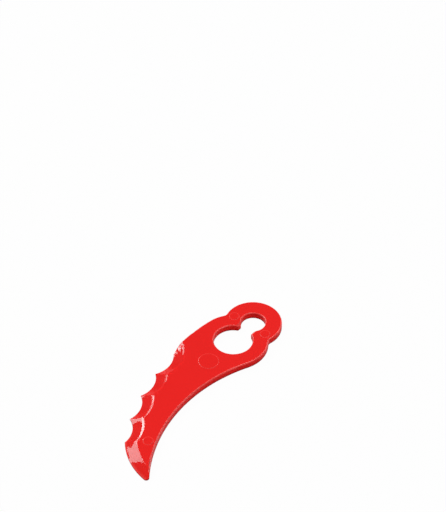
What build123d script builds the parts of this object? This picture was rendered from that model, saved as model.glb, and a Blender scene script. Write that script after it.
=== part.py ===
from build123d import *
import os
from math import atan2, cos, degrees, sin, sqrt, tan

# A moulded plastic cutting blade for a grass trimmer, lying flat on its underside.
# The pivot hole is at the origin, the keyhole runs along +X and the cutting edge is on the -Y side.

# Driving dimensions in millimetres, angles in degrees

thickness = 2.2
edge_rounding = 0.4             # top edges of the outline and of the keyhole

# Keyhole: a pin's head goes in at the entry hole, and its neck slides through to the pivot hole
pivot_hole_diameter = 7.8
entry_hole_diameter = 12.3
hole_spacing = 10.0
neck_width = 5.1
lip_radius = 0.45               # corners between the neck and the two holes
lip_lead = 0.7                  # sloping lead-in on top of the two lips, as wide as it is deep

# Eye: a wall round each of the two holes
ring_wall = 5.15                # round the pivot hole
hub_wall = 4.9                  # round the entry hole
notch_radius = 1.6              # inside corners where the two walls meet

# Cutting edge: teeth at an even pitch along one arc, with a round scallop between each two
tooth_count = 5
tooth_pitch = 10.1
tooth_arc_radius = 76.7
tooth_arc_heading = 2.9         # direction of the arc where it leaves the first tooth
first_tooth_along = 15.3        # from the entry hole, along the keyhole
first_tooth_across = 11.5       # from the entry hole, across the keyhole
shoulder_radius = 53.5          # back edge of the first tooth, from the hub to its point
scallop_radius = 8.3
last_tooth_trim = 0.53          # how far the tip's edge cuts the last tooth short

# Tip: a hooked point past the last tooth, with a round edge outside and a hollow back
tip_along = 6.75                # from the last tooth, along the keyhole
tip_across = 16.1               # from the last tooth, across the keyhole
tip_edge_radius = 23.0
back_radius = 51.1
point_radius = 0.9

# Bevel: a slope from the top face down to a blunt upright edge
bevel_width = 3.4
edge_land = 0.35                # height of the upright edge
arris_radius = 2.2              # soft turn from the top face into the slope
crest_radius = 0.5              # soft ridge between two scallops

# Ejector pin marks: low round pads on the top face
mark_height = 0.08              # also the radius of a pad's round rim
web_mark_diameter = 6.2
web_mark_gap = 2.85             # from the entry hole
small_mark_diameter = 3.0
ring_mark_angle = 73.5          # from the keyhole's axis, at the middle of the ring's wall
tip_mark_inset = 2.5            # from the hollow back
tip_mark_setback = 14.4         # from the tip, along the hollow back

# Helpers for points, circles and arcs in the plan


def polar(centre, radius, angle):
    return centre + Vector(radius, 0).rotate(Axis.Z, angle)


def angle_to(centre, point):
    return degrees(atan2(point.Y - centre.Y, point.X - centre.X))


def towards(centre, point, radius):
    return polar(centre, radius, angle_to(centre, point))


def crossing(centre_a, radius_a, centre_b, radius_b, side):
    # Where two circles cross, on the left (+1) or right (-1) of the way from the first to the second
    span = centre_b - centre_a
    along = (span.length**2 + radius_a**2 - radius_b**2) / (2 * span.length)
    across = sqrt(radius_a**2 - along**2)
    heading = angle_to(centre_a, centre_b)
    return polar(polar(centre_a, along, heading), across, heading + side * 90)


def arc(centre, start, end, turn):
    # Arc from start to end, anticlockwise (+1) or clockwise (-1)
    first = angle_to(centre, start)
    sweep = turn * ((turn * (angle_to(centre, end) - first)) % 360)
    return CenterArc(centre, (start - centre).length, first, sweep)


# Places in the plan

pivot = Vector(0, 0)
entry = Vector(hole_spacing, 0)
pivot_radius = pivot_hole_diameter / 2
entry_radius = entry_hole_diameter / 2
ring_radius = pivot_radius + ring_wall
hub_radius = entry_radius + hub_wall

first_tooth = entry + Vector(first_tooth_along, -first_tooth_across)
tooth_arc_centre = polar(first_tooth, tooth_arc_radius, tooth_arc_heading + 90)
first_angle = tooth_arc_heading - 90
tooth_step = degrees(tooth_pitch / tooth_arc_radius)
teeth = [polar(tooth_arc_centre, tooth_arc_radius, first_angle + i * tooth_step) for i in range(tooth_count)]
scallops = [crossing(a, scallop_radius, b, scallop_radius, -1) for a, b in zip(teeth, teeth[1:])]

tip = teeth[-1] + Vector(tip_along, tip_across)
trimmed_tooth = towards(tooth_arc_centre, teeth[-1], tooth_arc_radius - last_tooth_trim)
tip_edge_centre = crossing(trimmed_tooth, tip_edge_radius, tip, tip_edge_radius, +1)
last_tooth = crossing(tip_edge_centre, tip_edge_radius, scallops[-1], scallop_radius, +1)
back_centre = crossing(entry, hub_radius + back_radius, tip, back_radius, +1)
shoulder_centre = crossing(entry, shoulder_radius - hub_radius, first_tooth, shoulder_radius, +1)
inside_edge = tip_edge_radius - point_radius
outside_back = back_radius + point_radius
point_centre = crossing(tip_edge_centre, inside_edge, back_centre, outside_back, -1)
outside_ring = ring_radius + notch_radius
outside_hub = hub_radius + notch_radius
notches = [crossing(pivot, outside_ring, entry, outside_hub, side) for side in (+1, -1)]

# Blank: the outline without its scallops, with the keyhole through it and its top edges rounded

spare = 1.0                     # stock outside the teeth, which the scallops take away
mouth_share = 0.8               # largest rounding of the keyhole's top edge, as a share of its lips' radius


def blank_outline():
    upper, lower = notches
    ring_upper = towards(pivot, upper, ring_radius)
    ring_lower = towards(pivot, lower, ring_radius)
    hub_upper = towards(entry, upper, hub_radius)
    hub_lower = towards(entry, lower, hub_radius)
    hub_to_shoulder = polar(entry, hub_radius, angle_to(shoulder_centre, entry))
    hub_to_back = towards(entry, back_centre, hub_radius)
    shoulder_end_angle = angle_to(shoulder_centre, first_tooth) + degrees(spare / shoulder_radius)
    shoulder_end = polar(shoulder_centre, shoulder_radius, shoulder_end_angle)
    tip_edge_angle = angle_to(tip_edge_centre, last_tooth) - degrees(spare / tip_edge_radius)
    tip_edge_start = polar(tip_edge_centre, tip_edge_radius, tip_edge_angle)
    middle_angle = first_angle + tooth_step * (tooth_count - 1) / 2
    middle = polar(tooth_arc_centre, tooth_arc_radius + spare, middle_angle)
    point_outer = towards(tip_edge_centre, point_centre, tip_edge_radius)
    point_inner = towards(back_centre, point_centre, back_radius)
    return [
        arc(pivot, ring_upper, ring_lower, +1),
        arc(lower, ring_lower, hub_lower, -1),
        arc(entry, hub_lower, hub_to_shoulder, +1),
        arc(shoulder_centre, hub_to_shoulder, shoulder_end, +1),
        ThreePointArc(shoulder_end, middle, tip_edge_start),
        arc(tip_edge_centre, tip_edge_start, point_outer, +1),
        arc(point_centre, point_outer, point_inner, +1),
        arc(back_centre, point_inner, hub_to_back, -1),
        arc(entry, hub_to_back, hub_upper, +1),
        arc(upper, hub_upper, ring_upper, -1),
    ]


def keyhole(lip):
    neck = Pos(hole_spacing / 2, 0) * Rectangle(hole_spacing, neck_width)
    opening = Circle(pivot_radius) + Pos(entry) * Circle(entry_radius) + neck
    return fillet(opening.vertices(), lip)


def lead_in():
    # A groove along the keyhole, as wide as the neck at its bottom, which slopes the tops of the lips
    foot = neck_width / 2
    brow = foot + lip_lead
    low, high = thickness - lip_lead, thickness
    section = Polyline((-foot, low), (foot, low), (brow, high), (-brow, high), close=True)
    return extrude(Plane.YZ * make_face(section), hole_spacing)


def blank():
    # The lips are no rounder than the neck's straight wall allows, nor the mouth than the lips do
    neck_half = neck_width / 2
    neck_length = hole_spacing - sqrt(pivot_radius**2 - neck_half**2) - sqrt(entry_radius**2 - neck_half**2)
    lip = min(lip_radius, abs(neck_length) / 2)
    mouth_rounding = min(edge_rounding, mouth_share * lip)
    plate = extrude(make_face(blank_outline()) - keyhole(lip), thickness)
    rim = plate.faces().sort_by(Axis.Z)[-1].outer_wire().edges()
    plate = fillet(rim, edge_rounding)
    mouth = plate.faces().filter_by(Plane.XY).sort_by(Axis.Z)[-1].inner_wires().edges()
    return fillet(mouth, mouth_rounding) - lead_in()


# Cutters: the bevel's section turned about the centre of a scallop or of the tip's edge

tolerance = 0.01                # for finding the ridges by where they start
overrun = thickness             # how far a cutter runs past both faces of the plate
past_point = 30                 # how far the tip's cutter turns on past the point, in degrees
outside_tip = 1.5               # outer radius of the tip's cutter, as a multiple of its edge's radius


def bevel_cutter(radius, outward, axis_side, start, sweep):
    # The section climbs away from the edge: outward (+1) round a scallop, inward (-1) round the tip
    slope = atan2(thickness - edge_land, bevel_width)
    setback = arris_radius * tan(slope / 2)
    turn_end = bevel_width + setback

    def at(inset, height):
        return (radius + outward * inset, height)

    low, high = -overrun, thickness + overrun
    half = slope / 2
    slope_end = at(bevel_width - setback * cos(slope), thickness - setback * sin(slope))
    turn_middle = at(turn_end - arris_radius * sin(half), thickness - arris_radius * (1 - cos(half)))
    top = at(turn_end, thickness)
    section = [
        Polyline(at(0, low), at(0, edge_land), slope_end),
        ThreePointArc(slope_end, turn_middle, top),
        Polyline(top, at(turn_end, high), (axis_side, high), (axis_side, low), at(0, low)),
    ]
    profile = Plane.XZ * make_face(section)
    return Rot(0, 0, start) * revolve(profile, Axis.Z, sweep)


def scallop_cutters():
    cutter = bevel_cutter(scallop_radius, +1, 0, 0, 360)
    return [Pos(centre) * cutter for centre in scallops]


def tip_cutter():
    # Turned from the last scallop to well past the point, from outside the edge inwards
    start = angle_to(tip_edge_centre, scallops[-1])
    sweep = angle_to(tip_edge_centre, tip) + past_point - start
    outside = outside_tip * tip_edge_radius
    return Pos(tip_edge_centre) * bevel_cutter(tip_edge_radius, -1, outside, start, sweep)


def crests(blade):
    # The ridges that run up from the teeth, between two scallops or beside the tip's edge
    feet = [Vector(tooth.X, tooth.Y, edge_land) for tooth in teeth[1:-1] + [last_tooth]]

    def runs_up(edge):
        low, high = sorted((edge @ 0, edge @ 1), key=lambda end: end.Z)
        return high.Z > low.Z + tolerance and any((low - foot).length < tolerance for foot in feet)

    return blade.edges().filter_by(runs_up)


# Marks: a flat pad with a round rim at each place where an ejector pin pressed


def mark_places():
    web_mark_x = hole_spacing + entry_radius + web_mark_gap + web_mark_diameter / 2
    yield Vector(web_mark_x, 0), web_mark_diameter
    for side in (+1, -1):
        yield polar(pivot, pivot_radius + ring_wall / 2, side * ring_mark_angle), small_mark_diameter
    tip_mark_angle = angle_to(back_centre, tip) - degrees(tip_mark_setback / back_radius)
    yield polar(back_centre, back_radius + tip_mark_inset, tip_mark_angle), small_mark_diameter


def mark(diameter):
    flat = diameter / 2
    section = [
        CenterArc((flat, 0), mark_height, 0, 90),
        Polyline((flat, mark_height), (0, mark_height), (0, 0), (flat + mark_height, 0)),
    ]
    return revolve(Plane.XZ * make_face(section), Axis.Z)


# The blade

blade = blank() - scallop_cutters() - tip_cutter()
blade = fillet(crests(blade), crest_radius)
for place, diameter in mark_places():
    blade += Pos(place.X, place.Y, thickness) * mark(diameter)

os.makedirs("parts", exist_ok=True)
export_step(blade, "parts/blade.step")
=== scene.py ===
# %% [markdown]
# # A moulded trimmer blade, dressed in Blender
#
# The blade is a flat red plastic moulding with a keyhole eye, a hooked tip and a scalloped edge.
# Its solid is already exact, so this lesson leaves the shape alone and works on what the eye reads
# as plastic: the colour, the gloss, the light that the bevels catch, and the camera.
# The frame is loaded first, because every place below is measured in it. Its origin is the centre
# of the pivot hole, X runs out towards the tip, and the cutting edge is on the side of minus Y.

# %% Load the frame
from math import cos, pi, radians, sin, tan

import bpy
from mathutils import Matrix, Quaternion, Vector


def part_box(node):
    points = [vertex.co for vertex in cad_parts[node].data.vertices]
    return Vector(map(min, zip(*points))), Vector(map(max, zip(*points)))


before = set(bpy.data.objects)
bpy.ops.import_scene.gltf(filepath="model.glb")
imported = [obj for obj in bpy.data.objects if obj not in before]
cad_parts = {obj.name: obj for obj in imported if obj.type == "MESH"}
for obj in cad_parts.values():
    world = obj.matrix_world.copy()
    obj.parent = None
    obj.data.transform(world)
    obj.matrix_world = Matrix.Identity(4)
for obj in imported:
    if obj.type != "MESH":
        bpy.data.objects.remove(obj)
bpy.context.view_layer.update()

MM = 0.001
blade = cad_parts["blade"]
low, high = (Vector(corner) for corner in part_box("blade"))
print("blade, mm:", [round(side / MM, 2) for side in high - low])

# %% [markdown]
# ## Writing shader maths as Python
#
# A node tree is easy to draw and slow to read. Wrapping a socket in a small class lets an ordinary
# expression such as `0.3 + 0.2 * grain` add its Math nodes by itself. The reflected methods are
# there so that a number may stand on the left, as in `1 - mask`.


# %% A socket that takes part in expressions
class Socket:
    def __init__(self, finish, output):
        self.finish = finish
        self.output = output

    def maths(self, operation, first, second=0.0):
        return self.finish.node("ShaderNodeMath", {"operation": operation}, {0: first, 1: second})

    def __add__(self, other):
        return self.maths("ADD", self, other)

    def __radd__(self, other):
        return self.maths("ADD", other, self)

    def __sub__(self, other):
        return self.maths("SUBTRACT", self, other)

    def __rsub__(self, other):
        return self.maths("SUBTRACT", other, self)

    def __mul__(self, other):
        return self.maths("MULTIPLY", self, other)

    def __rmul__(self, other):
        return self.maths("MULTIPLY", other, self)

    def __abs__(self):
        return self.maths("ABSOLUTE", self)


print("a socket takes part in sums, differences, products and abs()")

# %% [markdown]
# ## A material in the making
#
# All other nodes come from one method, which takes the node's type, then its settings, then the
# values or links of its sockets. The same class serves the plastic, the table and the room, because
# each of them holds a node tree. The blade is one moulding, so one plastic is started for all of it.


# %% A finish, and the plastic to be finished
class Finish:
    def __init__(self, holder):
        self.holder = holder
        self.holder.use_nodes = True
        self.tree = self.holder.node_tree
        self.tree.nodes.clear()

    def node(self, kind, settings=None, sockets=None, result=0):
        node = self.tree.nodes.new(kind)
        for name, value in (settings or {}).items():
            setattr(node, name, value)
        for name, value in (sockets or {}).items():
            if isinstance(value, Socket):
                self.tree.links.new(value.output, node.inputs[name])
            else:
                node.inputs[name].default_value = value
        return Socket(self, node.outputs[result]) if node.outputs else None

    def done(self, shader, output="ShaderNodeOutputMaterial"):
        self.node(output, sockets={"Surface": shader})
        print(self.holder.name, "has", len(self.tree.nodes), "nodes")
        return self.holder


plastic = Finish(bpy.data.materials.new("red_plastic_skin"))
print("started", plastic.holder.name)

# %% [markdown]
# ## Which surface is it?
#
# The surfaces of the blade came off different parts of the mould and don't look alike. They could be
# picked by hand and given a material each, but then every border is hard, and the picking is lost
# when the solid changes. The direction of the surface and its place on the blade say the same thing
# without any picking, so those are read first.


# %% Read the place and the direction of the surface
def axis(vector, name):
    return vector.finish.node("ShaderNodeSeparateXYZ", sockets={"Vector": vector}, result=name)


place = plastic.node("ShaderNodeTexCoord", result="Object")
far_out = axis(place, "X")
height = axis(place, "Z")
normal = plastic.node("ShaderNodeNewGeometry", result="Normal")
facing_out = axis(normal, "X")
facing_back = axis(normal, "Y")
level = abs(axis(normal, "Z"))
print("nodes that read the surface:", len(plastic.tree.nodes))

# %% [markdown]
# ## Faces, walls, roundings and bevels
#
# Flat faces and bevels are polished, the roundings along the rims are satin, and the upright walls
# are dull. Each kind gets a mask from 0 to 1. A soft step between two values makes its border, as
# the mould has no sharp change there either. A bevel slopes towards the cutting edge and lies on the
# arm. What else slopes on the plate is a rounding, and the low round marks are left out by height.

# %% Tell the surfaces apart
WALL_TO_FACE = (0.1, 0.35)
FLAT_TO_SLOPE = (0.995, 0.95)
MARK_TO_PLATE = (2.22 * MM, 2.2 * MM)
BACK_TO_EDGE = (0.12, 0.0)
EYE_TO_ARM = (18 * MM, 22 * MM)


def fade(value, start, end):
    sockets = {"Value": value, "From Min": start, "From Max": end}
    return value.finish.node("ShaderNodeMapRange", {"interpolation_type": "SMOOTHSTEP"}, sockets)


face = fade(level, *WALL_TO_FACE)
wall = fade(level, *reversed(WALL_TO_FACE))
tilted = fade(level, *FLAT_TO_SLOPE)
sloping = tilted * fade(height, *MARK_TO_PLATE)
bevel = sloping * fade(facing_back, *BACK_TO_EDGE) * fade(far_out, *EYE_TO_ARM)
rounding = sloping - bevel
print("arm starts at, mm:", round(EYE_TO_ARM[1] / MM, 1))

# %% [markdown]
# ## Flanks and arris of a scallop
#
# Every scallop is a hollow cut. In the picture its upper flank faces out to the tip, its lower flank
# faces back to the eye, and a soft arris joins both to the top. Each catches the light in its own
# way. They could be cut out of the mesh as faces, but the same soft steps tell them apart: how far
# the surface faces out, and how level it is.

# %% Part the scallops
LOWER_TO_UPPER = (-0.02, 0.1)
ARRIS_TO_BEVEL = (0.93, 0.89)
BEVEL_TO_ARRIS = (0.885, 0.9)

upper = bevel * fade(facing_out, *LOWER_TO_UPPER)
lower = bevel - upper
slope = upper * fade(level, *ARRIS_TO_BEVEL)
arris = upper * fade(level, *BEVEL_TO_ARRIS)
print("nodes with the masks:", len(plastic.tree.nodes))

# %% [markdown]
# ## The colour
#
# The plastic is coloured through, so there is no paint to wear off. Where the melt flowed into the
# mould, the pigment leaves very faint bands. A painted picture could hold them, but the mesh would
# have to be unwrapped for it. A slow noise between two close reds needs nothing but the place.

# %% Bands in the pigment
RED = (0.84, 0.0115, 0.009, 1.0)
DEEP_RED = (0.79, 0.0095, 0.0075, 1.0)
FLOW_LENGTH = 14 * MM
FLOW_DETAIL = 3

# A Mix node has sockets for every kind of data, and these are the ones for colours
MIX_FACTOR = 0
MIX_FIRST = 6
MIX_SECOND = 7
MIX_RESULT = 2


def noise(place, length, detail):
    sockets = {"Vector": place, "Scale": 1 / length, "Detail": detail}
    return place.finish.node("ShaderNodeTexNoise", sockets=sockets)


def mix(factor, first, second):
    sockets = {MIX_FACTOR: factor, MIX_FIRST: first, MIX_SECOND: second}
    return factor.finish.node("ShaderNodeMix", {"data_type": "RGBA"}, sockets, MIX_RESULT)


colour = mix(noise(place, FLOW_LENGTH, FLOW_DETAIL), RED, DEEP_RED)
print("bands, mm long:", round(FLOW_LENGTH / MM, 1))

# %% [markdown]
# ## The soft rim of the point
#
# Near the point, the rim along the hollow back is softer than elsewhere. Its pale line of light is a
# painted highlight, and the bump sinks the rim a little. The back is an arc, so a distance from the
# arc's centre, measured in plan, finds that rim. A box or a painted mask would have to follow the
# curve by hand.

# %% Find the soft rim
BACK_CENTRE = (37.04 * MM, 55.96 * MM, 0.0)
BROW_RANGE = (51.6 * MM, 51.1 * MM)
BROW_START = (62.8 * MM, 63.8 * MM)
BROW_END = (68.0 * MM, 67.0 * MM)
PLAN_ONLY = (1, 1, 0)


def vector_maths(operation, first, second, result="Vector"):
    sockets = {0: first, 1: second}
    return first.finish.node("ShaderNodeVectorMath", {"operation": operation}, sockets, result)


def reach(centre):
    return vector_maths("DISTANCE", vector_maths("MULTIPLY", place, PLAN_ONLY), centre, "Value")


brow_length = fade(far_out, *BROW_START) * fade(far_out, *BROW_END)
# This mask of the soft rim carries a painted highlight in the colour and a sunk rim in the relief
brow = face * fade(reach(BACK_CENTRE), *BROW_RANGE) * brow_length
print("soft rim, mm wide:", round((BROW_RANGE[0] - BROW_RANGE[1]) / MM, 2))

# %% [markdown]
# ## Painted highlights on the rims and painted shade at the foot
#
# The rims and the edge of the point catch thin lines of light. Here those lines are painted
# highlights: the colour is mixed towards a paler red there. The foot of a wall is darker than its
# top, and that is painted shade, mixed in as a darker red.

# %% Mix in the painted highlights and the painted shade
HIGHLIGHT_RED = (0.95, 0.09, 0.08, 1.0)
RIM_HIGHLIGHT = 0.6
POINT_RANGE = (57 * MM, 61 * MM)
EDGE_GLINT_HEIGHTS = (0.85 * MM, 0.35 * MM)
EDGE_GLINT = 0.5
SHADE_RED = (0.3, 0.005, 0.004, 1.0)
FOOT_RANGE = (0.9 * MM, -0.1 * MM)
FOOT_SHADE = 0.8

# Painted glint along the low edge of the point's bevel
point_edge_glint = face * bevel * fade(far_out, *POINT_RANGE) * fade(height, *EDGE_GLINT_HEIGHTS)
# Painted highlights on the rounded rims, the soft rim of the point and the edge of the point
painted_highlight = RIM_HIGHLIGHT * rounding * face + brow + EDGE_GLINT * point_edge_glint
colour = mix(painted_highlight, colour, HIGHLIGHT_RED)
# Painted shade: the foot of each wall is mixed towards a dark red
foot = wall * fade(height, *FOOT_RANGE)
colour = mix(FOOT_SHADE * foot, colour, SHADE_RED)
print("edge of the point is pale up to, mm:", round(EDGE_GLINT_HEIGHTS[0] / MM, 2))

# %% [markdown]
# ## Painted highlights round the marks
#
# The pins that push the blade out of the mould leave four low round marks. Their steps are in the
# solid, but the step is too low to show much from afar. On the real blade a fine pale outline shows
# it, where the edge of the step catches the light, and that line is painted here as a pale ring: a
# painted highlight. A ring is where the distance from a centre is close to a radius.

# %% Paint the highlight rings, each from a centre and a radius in millimetres
MARKS = {
    "web": (22.1, 0.0, 3.15),
    "far side of the eye": (1.84, 6.21, 1.55),
    "near side of the eye": (1.84, -6.21, 1.55),
    "tip": (58.9, 7.02, 1.55),
}
RING_HALF_WIDTH = 0.24 * MM
RING_LEVEL = (2.0 * MM, 2.15 * MM)
RING_HIGHLIGHT = 0.4


def highlight_ring(centre_x, centre_y, radius):
    off_ring = abs(reach((centre_x * MM, centre_y * MM, 0)) - radius * MM)
    return fade(off_ring, RING_HALF_WIDTH, 0)


mark_highlights = sum(highlight_ring(*mark) for mark in MARKS.values())
# Painted highlight: the rings are mixed towards the pale red on the top of the marks
colour = mix(RING_HIGHLIGHT * mark_highlights * fade(height, *RING_LEVEL), colour, HIGHLIGHT_RED)
print("round marks:", list(MARKS))

# %% [markdown]
# ## Ripples and crinkle
#
# The bevels shrink unevenly as they cool, so the border of a reflection wavers there instead of
# running straight. At the start of the first scallop the skin is crinkled and breaks the light into
# sparks. Both are less than a tenth of a millimetre high. They could be sculpted, but the mesh would
# need far more faces. A noise gives their height instead, drawn out to lanes that run away from the
# viewer, because the sparks of the real blade are short upright streaks.

# %% Ripple the bevel
SMOOTH = 0
LANE_SHIFT = (0.0, 0.0, 30 * MM)
LANE_TURN = (0.0, 0.0, radians(39.34))
LANE_STRETCH = (2.0, 1.0, 1.0)
RIPPLE_LENGTH = 1.8 * MM
RIPPLE_HEIGHT = 0.035 * MM
CRINKLE_LENGTH = 0.8 * MM
CRINKLE_HEIGHT = 0.08 * MM
CRINKLE_RANGE = (32 * MM, 29 * MM)

lanes = {"Vector": place, "Location": LANE_SHIFT, "Rotation": LANE_TURN, "Scale": LANE_STRETCH}
drawn_out = plastic.node("ShaderNodeMapping", {"vector_type": "TEXTURE"}, lanes)
ripple = RIPPLE_HEIGHT * slope * noise(drawn_out, RIPPLE_LENGTH, SMOOTH)
crinkled = slope * fade(far_out, *CRINKLE_RANGE)
crinkle = CRINKLE_HEIGHT * crinkled * noise(drawn_out, CRINKLE_LENGTH, SMOOTH)
print("ripple and crinkle, mm high:", round(RIPPLE_HEIGHT / MM, 3), round(CRINKLE_HEIGHT / MM, 3))

# %% [markdown]
# ## The point, the grain and the bump
#
# The point rolls over towards its foot, its soft rim is a little sunk, and the whole skin has the
# faintest grain. All heights are summed and go into one Bump node, which turns the light as if the
# surface had that relief and leaves the solid alone. A displaced mesh would change its size.

# %% Sum the relief
FINE = 2
TIP_RANGE = (63.5 * MM, 66.5 * MM)
ROLL_RANGE = (-0.3 * MM, 1.0 * MM)
ROLL_HEIGHT = 0.1 * MM
BROW_HEIGHT = -0.35 * MM
SKIN_LENGTH = 0.3 * MM
SKIN_HEIGHT = 0.0002 * MM

# The heights are in metres already, so the bump takes them as they are
BUMP_DISTANCE = 1.0

roll = ROLL_HEIGHT * fade(far_out, *TIP_RANGE) * fade(height, *ROLL_RANGE)
skin = SKIN_HEIGHT * noise(place, SKIN_LENGTH, FINE)
relief_height = roll + ripple + crinkle + BROW_HEIGHT * brow + skin
relief = plastic.node("ShaderNodeBump", sockets={"Height": relief_height, "Distance": BUMP_DISTANCE})
print("nodes with the relief:", len(plastic.tree.nodes))

# %% [markdown]
# ## Where the skin is polished
#
# The faces mirror the lamps sharply. The walls slid along the steel when the blade was pushed out,
# and are dull. The lower flanks of the scallops, the very start of the first one, the steep side of
# the arris in the middle ones and the arris at the point show hardly any reflection either.
# Raising the roughness alone wouldn't do for those, because a rough surface gives back as much light
# as a smooth one and only spreads it. So a mask says how much of a glossy and of a dull shader to
# use.

# %% Mask the polish
DULLNESS = 0.85
START_RANGE = (23.0 * MM, 22.2 * MM)
MIDDLE_START = (32 * MM, 33.5 * MM)
MIDDLE_END = (51.5 * MM, 50.5 * MM)
LINE_TO_ARRIS = (0.965, 0.945)
ARRIS_END = (65.5 * MM, 66.0 * MM)

start = slope * fade(far_out, *START_RANGE)
middle = fade(far_out, *MIDDLE_START) * fade(far_out, *MIDDLE_END)
dull_arris = arris * (middle * fade(level, *LINE_TO_ARRIS) + fade(far_out, *ARRIS_END))
polished = face * (1 - DULLNESS * (lower + start + dull_arris))
print("polish left on the dull flanks:", round(1 - DULLNESS, 2))

# %% [markdown]
# ## Glossy and dull plastic
#
# Both shaders share the colour and the relief. The glossy one is nearly a mirror, with a slow change
# of sheen, and satin on the roundings. The dull one mirrors little, and fine drag marks run across
# the thickness of the wall. They are a noise that hardly changes with the height, because its Z is
# scaled down, and so it comes out as upright streaks.

# %% Make and mix the two shaders
PLASTIC_IOR = 1.5
SHEEN_LENGTH = 5 * MM
FACE_ROUGHNESS = 0.025
FACE_SPREAD = 0.03
SATIN_SPREAD = 0.3
DRAG_LENGTH = 0.25 * MM
DRAG_STRETCH = (1.0, 1.0, 0.05)
WALL_ROUGHNESS = 0.35
WALL_SPREAD = 0.2
WALL_SPECULAR = 0.05


def blend(factor, first, second):
    return factor.finish.node("ShaderNodeMixShader", sockets={0: factor, 1: first, 2: second})


sheen = noise(place, SHEEN_LENGTH, FINE)
drag = noise(vector_maths("MULTIPLY", place, DRAG_STRETCH), DRAG_LENGTH, FINE)
satin = tilted - bevel
common = {"Base Color": colour, "IOR": PLASTIC_IOR, "Normal": relief}
gloss = {"Roughness": FACE_ROUGHNESS + FACE_SPREAD * sheen + SATIN_SPREAD * satin}
dull = {"Roughness": WALL_ROUGHNESS + WALL_SPREAD * drag, "Specular IOR Level": WALL_SPECULAR}
glossy_shader = plastic.node("ShaderNodeBsdfPrincipled", sockets=common | gloss)
dull_shader = plastic.node("ShaderNodeBsdfPrincipled", sockets=common | dull)
skin_material = plastic.done(blend(polished, dull_shader, glossy_shader))
for slot in blade.material_slots:
    slot.material = skin_material
print("slots dressed:", len(blade.material_slots))

# %% [markdown]
# ## The floor
#
# The blade lies on a white table. A white floor that is only lit goes grey away from the lamps, so
# part of its brightness is given to the rays that come from the camera, straight or by way of a
# mirror or of something clear. The rest stays ordinary diffuse white, which keeps the shadow and
# bounces light on to the walls of the blade.

# %% Make the floor
FLOOR_HALF = 12.0
FLOOR_GAP = 0.02 * MM
FLOOR_WHITE = (0.65, 0.65, 0.65, 1.0)
FLOOR_GLOW = 0.97
VIEW_RAYS = ("Is Camera Ray", "Is Glossy Ray", "Is Transmission Ray")
CORNER_SIGNS = ((-1, -1), (1, -1), (1, 1), (-1, 1))


def white_table():
    table = Finish(bpy.data.materials.new("white_table"))
    seen = sum(table.node("ShaderNodeLightPath", result=ray) for ray in VIEW_RAYS)
    paint = table.node("ShaderNodeBsdfDiffuse", sockets={"Color": FLOOR_WHITE})
    glow = table.node("ShaderNodeEmission")
    return table.done(blend(FLOOR_GLOW * seen, paint, glow))


corners = [(FLOOR_HALF * i, FLOOR_HALF * j, low.z - FLOOR_GAP) for i, j in CORNER_SIGNS]
floor_mesh = bpy.data.meshes.new("floor")
floor_mesh.from_pydata(corners, [], [range(len(corners))])
floor_mesh.materials.append(white_table())
floor = bpy.data.objects.new("floor", floor_mesh)
bpy.context.scene.collection.objects.link(floor)
print("floor, m wide:", 2 * FLOOR_HALF)

# %% [markdown]
# ## The camera
#
# The picture was taken with a long lens from well above the table. The camera could be set by a
# matrix, but that tells a reader nothing. It is set by what it does instead: which way it looks, how
# steeply, from how far, and which point of the table is in the middle of the picture. The focal
# length is known in pixels, and the picture's long side turns it into millimetres.

# %% Place the camera
VIEW_AZIMUTH = radians(129.34)
VIEW_ELEVATION = radians(43.65)
VIEW_DISTANCE = 732.2 * MM
AIM = Vector((-18.98, -27.87, 0)) * MM
TOWARDS_THE_VIEWER = -pi / 2
PICTURE_LONG_SIDE = 512
FOCAL_PIXELS = 2246
SENSOR = 36


# A direction at an elevation, turned anticlockwise from the right of the picture
def from_view(turn, elevation):
    azimuth = turn + VIEW_AZIMUTH
    return Vector((cos(azimuth) * cos(elevation), sin(azimuth) * cos(elevation), sin(elevation)))


def look(holder, target):
    holder.rotation_mode = "QUATERNION"
    holder.rotation_quaternion = (target - holder.location).to_track_quat("-Z", "Y")


camera = bpy.data.objects.new("camera", bpy.data.cameras.new("camera"))
camera.data.sensor_width = SENSOR
camera.data.lens = SENSOR * FOCAL_PIXELS / PICTURE_LONG_SIDE
camera.location = AIM + VIEW_DISTANCE * from_view(TOWARDS_THE_VIEWER, VIEW_ELEVATION)
look(camera, AIM)
bpy.context.scene.collection.objects.link(camera)
bpy.context.scene.camera = camera
print("lens, mm:", round(camera.data.lens, 1))

# %% [markdown]
# ## The lamps
#
# Glossy plastic shows its lamps, so lighting it and drawing its reflections are kept apart. Two far
# lamps light the blade, one from behind on the left and one from the right, and the gloss doesn't
# mirror them. One lamp could do both jobs, but then no reflection could be moved without changing
# the light on the whole blade. A lamp is sized by the angle it fills, and its brightness is a
# radiance, where 1 is white paper in the picture. Both are turned into metres and watts.

# %% Place the lamps that light the blade
EDGE_MIDDLE = Vector((42, 1, 2)) * MM
FAR = 1.0
WHITE = (1, 1, 1)


def softbox(name, turn, elevation, distance, wide, tall, radiance,
            roll=0, mirrored=True, lights=True, tint=WHITE):
    lamp = bpy.data.lights.new(name, "AREA")
    lamp.shape = "RECTANGLE"
    lamp.size = 2 * distance * tan(radians(wide) / 2)
    lamp.size_y = 2 * distance * tan(radians(tall) / 2)
    lamp.energy = radiance * pi * lamp.size * lamp.size_y
    lamp.color = tint
    holder = bpy.data.objects.new(name, lamp)
    holder.location = EDGE_MIDDLE + distance * from_view(radians(turn), radians(elevation))
    look(holder, EDGE_MIDDLE)
    holder.rotation_quaternion @= Quaternion((0, 0, 1), radians(roll))
    holder.visible_camera = False
    holder.visible_glossy = mirrored
    holder.visible_diffuse = lights
    bpy.context.scene.collection.objects.link(holder)
    print(name, "m:", round(lamp.size, 3), round(lamp.size_y, 3), "watts:", round(lamp.energy, 2))


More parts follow.
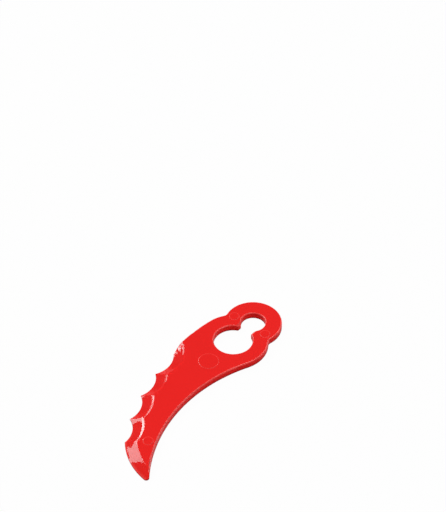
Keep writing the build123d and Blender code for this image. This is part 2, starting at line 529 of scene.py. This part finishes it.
softbox("back_light", turn=140, elevation=42, distance=FAR, wide=36, tall=24, radiance=7.4,
        mirrored=False)
softbox("right_box", turn=-25, elevation=60, distance=FAR, wide=44, tall=28, radiance=4.65,
        mirrored=False)

# %% [markdown]
# ## The cards in the gloss
#
# Three cards are seen in the gloss alone. The big far one draws the thin line along the near rims.
# The two close ones stand behind the blade on the left, and the bevel of the tip, the ridges and the
# arris mirror them: the wide card as a patch, and the small hot one as the bright line.
# The wide card has less red in it, as its patch lies on a red that is nearly full already.

# %% Place the cards
CARD_ROLL = 11.4
LESS_RED = (0.5, 1, 1)

softbox("edge_card", turn=45, elevation=52, distance=FAR, wide=40, tall=66, radiance=2.2,
        lights=False)
softbox("back_card", turn=141.5, elevation=39.8, distance=0.101, wide=50.4, tall=27.4, radiance=5.2,
        roll=CARD_ROLL, lights=False, tint=LESS_RED)
softbox("hot_card", turn=132.2, elevation=36.1, distance=0.097, wide=18, tall=20.5, radiance=8,
        roll=CARD_ROLL, lights=False)

# %% [markdown]
# ## The room
#
# A studio is never black, and its walls and ceiling fill the shadows a little. One even grey would
# do that, but the bevels mirror what is low in the room, and a grey there would lie over their red
# like a veil. So the room is darker at the horizon and brightens upwards.

# %% Light the room
ROOM_LIGHT = 0.25
HORIZON_LIGHT = 0.1
HORIZON_RANGE = (0.0, 0.35)


def studio_room():
    room = Finish(bpy.data.worlds.new("room"))
    direction = room.node("ShaderNodeTexCoord", result="Generated")
    horizon = room.node("ShaderNodeBackground", sockets={"Strength": HORIZON_LIGHT})
    ceiling = room.node("ShaderNodeBackground", sockets={"Strength": ROOM_LIGHT})
    upwards = fade(axis(direction, "Z"), *HORIZON_RANGE)
    return room.done(blend(upwards, horizon, ceiling), "ShaderNodeOutputWorld")


bpy.context.scene.world = studio_room()

# %% [markdown]
# ## The view transform
#
# The Standard view transform shows each colour as it was written.

# %% Finish
bpy.context.scene.view_settings.view_transform = "Standard"
